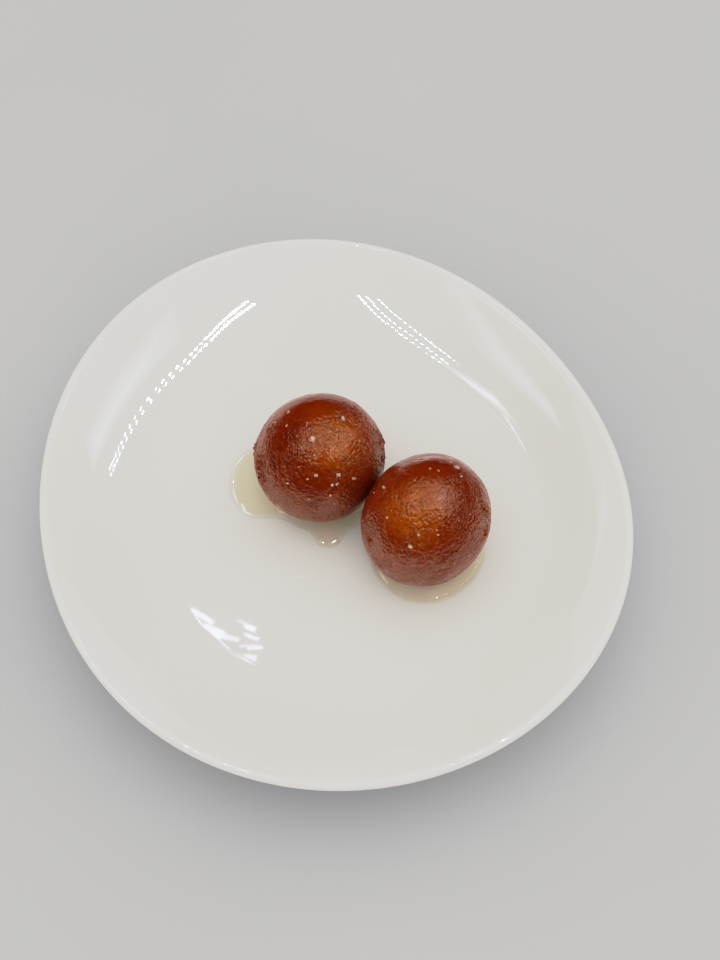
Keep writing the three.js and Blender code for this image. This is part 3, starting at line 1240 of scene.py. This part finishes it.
# painted shade: the fine dark line along the syrup's thin edge
SYRUP_RIM_PAINTED_SHADE = (0.72, 0.68, 0.58)
SYRUP_THIN = (0.905, 0.872, 0.718)
SYRUP_DEEP = (0.96, 0.87, 0.73)
SWIRL_DARK, SWIRL_LIGHT = (0.96, 0.955, 0.94), (1.0, 1.0, 1.0)
COLOURED_DEPTH = 1.1 * MM
SWIRLS = (120, 2.0)                     # per metre, and detail
SYRUP_RIPPLES = (200, 1.0, 0.08 * MM)   # the same two, and how deep
SYRUP_BODY = {"Roughness": 0.03, "IOR": 1.45, "Transmission Weight": 1.0}
ONE_WAY = 0.5          # light that passes once meets half of the film's colour


def syrup_colour(tree):
    """Painted shade as a dark line at the very edge, then clear, then yellower the deeper it stands."""
    depth = height_above(tree, well_floor, well_floor + COLOURED_DEPTH)
    tone = ramp(tree, depth, [
        (0.0, SYRUP_RIM_PAINTED_SHADE), (0.05, SYRUP_RIM_PAINTED_SHADE), (0.14, SYRUP_CLEAR), (0.45, SYRUP_THIN),
        (1.0, SYRUP_DEEP)])
    swirl = ramp(tree, mottling(tree, *SWIRLS), [(0.3, SWIRL_DARK), (0.7, SWIRL_LIGHT)])
    return mix_colour(tree, 1.0, tone, swirl, "MULTIPLY")


def let_light_through(tree, shader, colour):
    """Shadow and diffuse rays pass the syrup as if it were a thin coloured film."""
    through = add_node(tree, "Gamma", {"Gamma": ONE_WAY})
    tree.links.new(colour, through.inputs["Color"])
    film = add_node(tree, "BsdfTransparent")
    tree.links.new(through.outputs["Color"], film.inputs["Color"])
    light = add_node(tree, "LightPath")
    passing = add_node(tree, "Math", operation="MAXIMUM")
    tree.links.new(light.outputs["Is Shadow Ray"], passing.inputs[0])
    tree.links.new(light.outputs["Is Diffuse Ray"], passing.inputs[1])
    both = add_node(tree, "MixShader")
    tree.links.new(passing.outputs["Value"], both.inputs[0])
    tree.links.new(shader.outputs["BSDF"], both.inputs[1])
    tree.links.new(film.outputs["BSDF"], both.inputs[2])
    tree.links.new(both.outputs["Shader"], tree.nodes["Material Output"].inputs["Surface"])


def syrup_finish():
    """Glass-like syrup with faint ripples."""
    finish, tree, shader = new_finish("sugar_syrup")
    colour = syrup_colour(tree)
    tree.links.new(colour, shader.inputs["Base Color"])
    make_uneven(tree, shader, *SYRUP_RIPPLES)
    for name, value in SYRUP_BODY.items():
        shader.inputs[name].default_value = value
    let_light_through(tree, shader, colour)
    return finish


syrup = syrup_finish()
for side, pool in pools.items():
    finish_piece(pool, f"syrup_pool_{side}", syrup)

# %% [markdown]
# ## Floor
#
# The plate stands on a plain pale table. A plane that is large enough to fill the view is all
# it takes, with a faint cloudiness so that it doesn't look like paper. It belongs to the stage
# and not to the part.

# %% Floor
FLOOR_SIZE = 8
FLOOR_DARK, FLOOR_PALE = (0.46, 0.47, 0.50), (0.49, 0.50, 0.53)
FLOOR_CLOUDS = (3, 3.0)   # per metre, and detail
FLOOR_ROUGHNESS = 0.7


def floor_finish():
    """A matt pale table top."""
    finish, tree, shader = new_finish("pale_floor")
    tone = ramp(tree, mottling(tree, *FLOOR_CLOUDS), [(0.3, FLOOR_DARK), (0.7, FLOOR_PALE)])
    tree.links.new(tone, shader.inputs["Base Color"])
    shader.inputs["Roughness"].default_value = FLOOR_ROUGHNESS
    return finish


let_go()
bpy.ops.mesh.primitive_plane_add(size=FLOOR_SIZE, location=(0, 0, 0))
floor = name_new("floor")
floor.data.materials.append(floor_finish())
print("the floor is", FLOOR_SIZE, "m wide")

# %% [markdown]
# ## Rows of small lamps
#
# Strings of small bright lamps hang over the table, two rows on the left and three on the
# right, and the glaze mirrors them as dotted streaks. Each is a square area lamp that faces
# down. A picture of the lamps on a dome could do it as well, but real lamps move rightly in the
# glaze when the plate is seen from another side.

# %% Rows of lamps
LAMP_HEIGHT = 1.2
LEFT_STREAK = [        # places in metres, seen from above
    (0.296, -0.190), (0.350, -0.112), (0.398, -0.033), (0.437, 0.064), (0.501, 0.196),
    (0.664, 0.340), (0.908, 0.586), (1.130, 0.840), (1.33, 1.06)]
NEXT_ROW = (0.035, -0.025)
RIGHT_STREAKS = [
    [(-0.24, -0.41), (-0.27, -0.25), (-0.32, -0.09), (-0.37, 0.11)],
    [(-0.29, -0.43), (-0.33, -0.27), (-0.40, -0.11), (-0.45, 0.04)],
    [(-0.36, -0.46), (-0.43, -0.31), (-0.52, -0.17), (-0.62, -0.07)],
]
STREAK_GLOW = 160.0
LEFT_LAMP, RIGHT_LAMP = 0.020, 0.014
LEFT_PER_KNOT, RIGHT_PER_KNOT = 4, 6
LEFT_STAGGER, RIGHT_STAGGER = 0.25, 0.33   # shares of the space between two lamps


def soft_lamp(name, place, target, width, depth, glow, turn=0.0):
    """A rectangular lamp of a given brightness, turned about the line to its target."""
    data = bpy.data.lights.new(name, "AREA")
    data.shape = "RECTANGLE"
    data.size = width
    data.size_y = depth
    data.energy = glow * math.pi * width * depth
    lamp = bpy.data.objects.new(name, data)
    lamp.location = place
    facing = (Vector(target) - Vector(place)).to_track_quat("-Z", "Y")
    lamp.rotation_euler = facing.to_euler()
    lamp.rotation_euler.rotate_axis("Z", turn)
    bpy.context.scene.collection.objects.link(lamp)
    return lamp


def lamp_row(name, knots, per_knot, width, shift=0.0):
    """Small lamps all facing down, spaced evenly between each two knots."""
    count = (len(knots) - 1) * per_knot
    for index in range(count):
        position = (index + shift) / per_knot
        knot = min(int(position), len(knots) - 2)
        place = Vector(knots[knot]).lerp(Vector(knots[knot + 1]), position - knot)
        start = Vector((*place, LAMP_HEIGHT))
        below = start - Vector((0, 0, 1))
        soft_lamp(f"{name}_{index}", start, below, width, width, STREAK_GLOW)


next_row = [(x + NEXT_ROW[0], y + NEXT_ROW[1]) for x, y in LEFT_STREAK]
lamp_row("left_streak_a", LEFT_STREAK, LEFT_PER_KNOT, LEFT_LAMP)
lamp_row("left_streak_b", next_row, LEFT_PER_KNOT, LEFT_LAMP, LEFT_STAGGER)
for index, row in enumerate(RIGHT_STREAKS):
    lamp_row(f"right_streak_{index}", row, RIGHT_PER_KNOT, RIGHT_LAMP, RIGHT_STAGGER * index)
print("small lamps:", len(bpy.data.lights))

# %% [markdown]
# ## Bars and soft bands
#
# Longer and dimmer lamps make the broad faint bands in the wall of the plate and the bright
# blot in the near part of the well. A mirrored lamp has a sharp edge, and a band in the glaze
# fades out, so a band is a nest of bars one inside the other. They hang at slightly different
# heights, because where lamps overlap in one plane a ray meets only one of them.

# %% Bars of light
BAND_BARS = 5
BAR_STEP = 0.01
INNERMOST_SHARE = 0.5
FAR_BARS = [            # start, end, width and glow
    ((-0.224, 0.606), (-0.190, 0.582), 0.006, 26.0),
    ((-0.206, 0.579), (-0.176, 0.563), 0.013, 26.0),
    ((-0.184, 0.566), (-0.156, 0.555), 0.007, 20.0),
    ((-0.160, 0.585), (-0.145, 0.579), 0.005, 14.0),
    ((-0.150, 0.577), (-0.133, 0.570), 0.008, 26.0),
    ((-0.150, 0.564), (-0.129, 0.556), 0.005, 24.0),
    ((-0.154, 0.546), (-0.127, 0.546), 0.005, 16.0),
    ((-0.144, 0.542), (-0.123, 0.543), 0.006, 26.0),
    ((-0.147, 0.530), (-0.130, 0.526), 0.007, 22.0),
    ((0.148, 0.600), (0.182, 0.665), 0.0016, 8.0),
    ((-0.080, 0.650), (-0.050, 0.660), 0.0016, 6.0),
]


def lamp_bar(name, start, end, width, glow, height=LAMP_HEIGHT):
    """A long bar lamp facing down between two places."""
    start, end = Vector(start), Vector(end)
    along = end - start
    middle = Vector((*((start + end) / 2), height))
    below = middle - Vector((0, 0, 1))
    soft_lamp(name, middle, below, along.length, width, glow, math.atan2(along.y, along.x))


def soft_band(name, start, end, width, glow):
    """Bars one inside the other, so that the band they make in the glaze has soft edges."""
    start, end = Vector(start), Vector(end)
    middle = (start + end) / 2
    for index in range(BAND_BARS):
        inwards = index / BAND_BARS
        reach = 1 - INNERMOST_SHARE * inwards
        lamp_bar(f"{name}_{index}", middle.lerp(start, reach), middle.lerp(end, reach),
                 width * (1 - inwards), glow / BAND_BARS, LAMP_HEIGHT + BAR_STEP * index)


soft_band("right_patch", (-0.36, 0.17), (-0.86, 0.17), 0.26, 16.0)
lamp_bar("right_bar", (-0.58, 0.30), (-0.34, 0.57), 0.05, 14.0)
soft_band("left_band", (0.74, -0.04), (2.06, 1.34), 0.26, 7.0)
soft_band("right_band", (-1.44, -0.79), (-6.40, 0.67), 0.80, 5.0)
for index, (start, end, width, glow) in enumerate(FAR_BARS):
    lamp_bar(f"far_bar_{index}", start, end, width, glow)
print("lamps and bars:", len(bpy.data.lights))

# %% [markdown]
# ## Lamps for the glaze, for the skin and for the syrup
#
# The rows would burn white spots into the wet skins, which are curved and mirror everything,
# while the skins and the pools need glints of their own. In a studio a lighter hides a lamp
# from a dish with a black card. Light linking does the same here: the rows reach the plate and
# the pools, the sheen strips reach the skins, and the glints reach the pools. All of them are
# only mirrored. A wide lamp above, which nothing mirrors, gives the soft light.

# %% What each lamp reaches
LEFT_STRIPS, LEFT_STRIP = [0.32, 0.58, 0.86, 1.18, 1.52], {"start": -0.45, "end": 1.10}
RIGHT_STRIPS, RIGHT_STRIP = [-0.66, -0.42, -0.20, 0.00], {"start": -0.20, "end": 0.85}
SYRUP_GLINTS = {        # start, end, width and glow
    "a": ((0.08, 0.62), (0.22, 0.66), 0.10, 14.0),
    "b": ((-0.60, 0.50), (-0.60, 0.90), 0.10, 34.0),
    "c": ((0.50, 0.55), (0.50, 0.85), 0.07, 24.0),
    "d": ((-0.10, 0.17), (0.02, 0.17), 0.08, 34.0),
}
OVERHEAD_PLACE, OVERHEAD_WIDTH, OVERHEAD_GLOW = (0.05, -0.05, 1.2), 1.5, 0.5


def lamps_since(known):
    """The lamps that were hung since a list of them was made."""
    return [lamp for lamp in bpy.data.objects if lamp.type == "LIGHT" and lamp not in known]


def reach_only(lamps, name, pieces):
    """Lets lamps reach only some pieces, and there only what mirrors."""
    reached = bpy.data.collections.new(name)
    for piece in pieces:
        reached.objects.link(piece)
    for lamp in lamps:
        lamp.light_linking.receiver_collection = reached
        lamp.visible_diffuse = False


def sheen_strips(name, places, strip, width, glow):
    """Strips side by side along the table, so that each crinkle of the skin catches one."""
    for index, x in enumerate(places):
        lamp_bar(f"{name}_{index}", (x, strip["start"]), (x, strip["end"]), width, glow)


rows = lamps_since([])
lamp_bar("left_glint", LEFT_STREAK[0], LEFT_STREAK[-1], 0.06, 3.5)
lamp_bar("right_glint", RIGHT_STREAKS[1][0], RIGHT_STREAKS[1][-1], 0.12, 4.0)
sheen_strips("left_sheen", LEFT_STRIPS, LEFT_STRIP, 0.08, 2.9)
sheen_strips("right_sheen", RIGHT_STRIPS, RIGHT_STRIP, 0.07, 2.2)
sheen = lamps_since(rows)
for name, (start, end, width, glow) in SYRUP_GLINTS.items():
    lamp_bar(f"syrup_glint_{name}", start, end, width, glow)
glints = lamps_since(rows + sheen)
reach_only(rows, "mirrors the rows of lamps", [plate, *pools.values()])
reach_only(sheen, "mirrors the sheen", [*balls.values(), *grains.values()])
reach_only(glints, "mirrors the glints", pools.values())

overhead = soft_lamp(
    "overhead", OVERHEAD_PLACE, (0, 0, 0), OVERHEAD_WIDTH, OVERHEAD_WIDTH, OVERHEAD_GLOW)
overhead.visible_glossy = False
print("in rows and bars:", len(rows), "for the skins:", len(sheen), "for the syrup:", len(glints))

# %% [markdown]
# ## Sky
#
# An even sky fills the shadows, a little brighter near the horizon, as pale walls do. A mirror
# would show such a sky as a grey veil over the glaze and the wet skins, and a real room is dark
# between its lamps. So what mirrors sees an almost dark room: Light Path tells the two kinds of
# ray apart.

# %% Sky
SKY_ZENITH, SKY_HORIZON, SKY_MIRRORED = 0.68, 1.35, 0.006
SKY_TINT = (0.985, 0.99, 1.0, 1)


def room_sky():
    """Light from all sides for matt surfaces, and a dark room in what mirrors."""
    sky = bpy.data.worlds.new("sky")
    sky.use_nodes = True
    tree = sky.node_tree
    soft = tree.nodes["Background"]
    mirrored = add_node(tree, "Background", {"Strength": SKY_MIRRORED})
    for light in (soft, mirrored):
        light.inputs["Color"].default_value = SKY_TINT
    direction = add_node(tree, "TexCoord")
    parts = add_node(tree, "SeparateXYZ")
    tree.links.new(direction.outputs["Generated"], parts.inputs["Vector"])
    fading = spread(tree, parts.outputs["Z"], 0, 1, SKY_HORIZON, SKY_ZENITH)
    tree.links.new(fading, soft.inputs["Strength"])
    path = add_node(tree, "LightPath")
    both = add_node(tree, "MixShader")
    tree.links.new(path.outputs["Is Glossy Ray"], both.inputs[0])
    tree.links.new(soft.outputs["Background"], both.inputs[1])
    tree.links.new(mirrored.outputs["Background"], both.inputs[2])
    tree.links.new(both.outputs["Shader"], tree.nodes["World Output"].inputs["Surface"])
    return sky


bpy.context.scene.world = room_sky()
print("the sky goes from", SKY_HORIZON, "at the horizon to", SKY_ZENITH, "overhead")

# %% [markdown]
# ## Tones
#
# A camera indoors deepens the darks, holds back the brights and warms what is pale. The ready
# view transforms each do something else to the reds of the skin, so the plain one is used with
# a curve for the tones of all three colours and two more that lower green and blue a little.
# The curves reach well past 1, because the mirrored lamps are far brighter than the plate.

# %% Tones
GREEN, BLUE, ALL_COLOURS = 1, 2, 3   # places of the curves in the view's curve mapping
BRIGHTEST = 4.0
TONE_CURVE = [          # light in the scene, light shown
    (0.021, 0.015), (0.045, 0.036), (0.10, 0.094), (0.19, 0.19), (0.26, 0.27), (0.34, 0.38),
    (0.42, 0.49), (0.50, 0.575), (0.60, 0.64), (0.72, 0.68), (0.85, 0.705), (1.0, 0.73),
    (1.4, 0.82), (2.2, 0.95),
]
WARMTH = {              # what is shown of a level in one colour
    GREEN: [(0.03, 0.027), (0.20, 0.198), (0.45, 0.436), (0.68, 0.650)],
    BLUE: [(0.03, 0.022), (0.08, 0.066), (0.20, 0.190), (0.45, 0.410), (0.68, 0.596)],
}


def set_tones():
    """Deepens the darks, softens the brights and warms them, as a camera does indoors."""
    view = bpy.context.scene.view_settings
    view.view_transform = "Standard"
    view.look = "None"
    view.use_curve_mapping = True
    tones = view.curve_mapping
    tones.clip_max_x = BRIGHTEST
    curve = tones.curves[ALL_COLOURS]
    curve.points[-1].location = (BRIGHTEST, 1.0)
    for light, shown in TONE_CURVE:
        curve.points.new(light, shown)
    for colour, points in WARMTH.items():
        for level, shown in points:
            tones.curves[colour].points.new(level, shown)
    tones.update()


set_tones()
print("points on the tone curve:", len(TONE_CURVE))
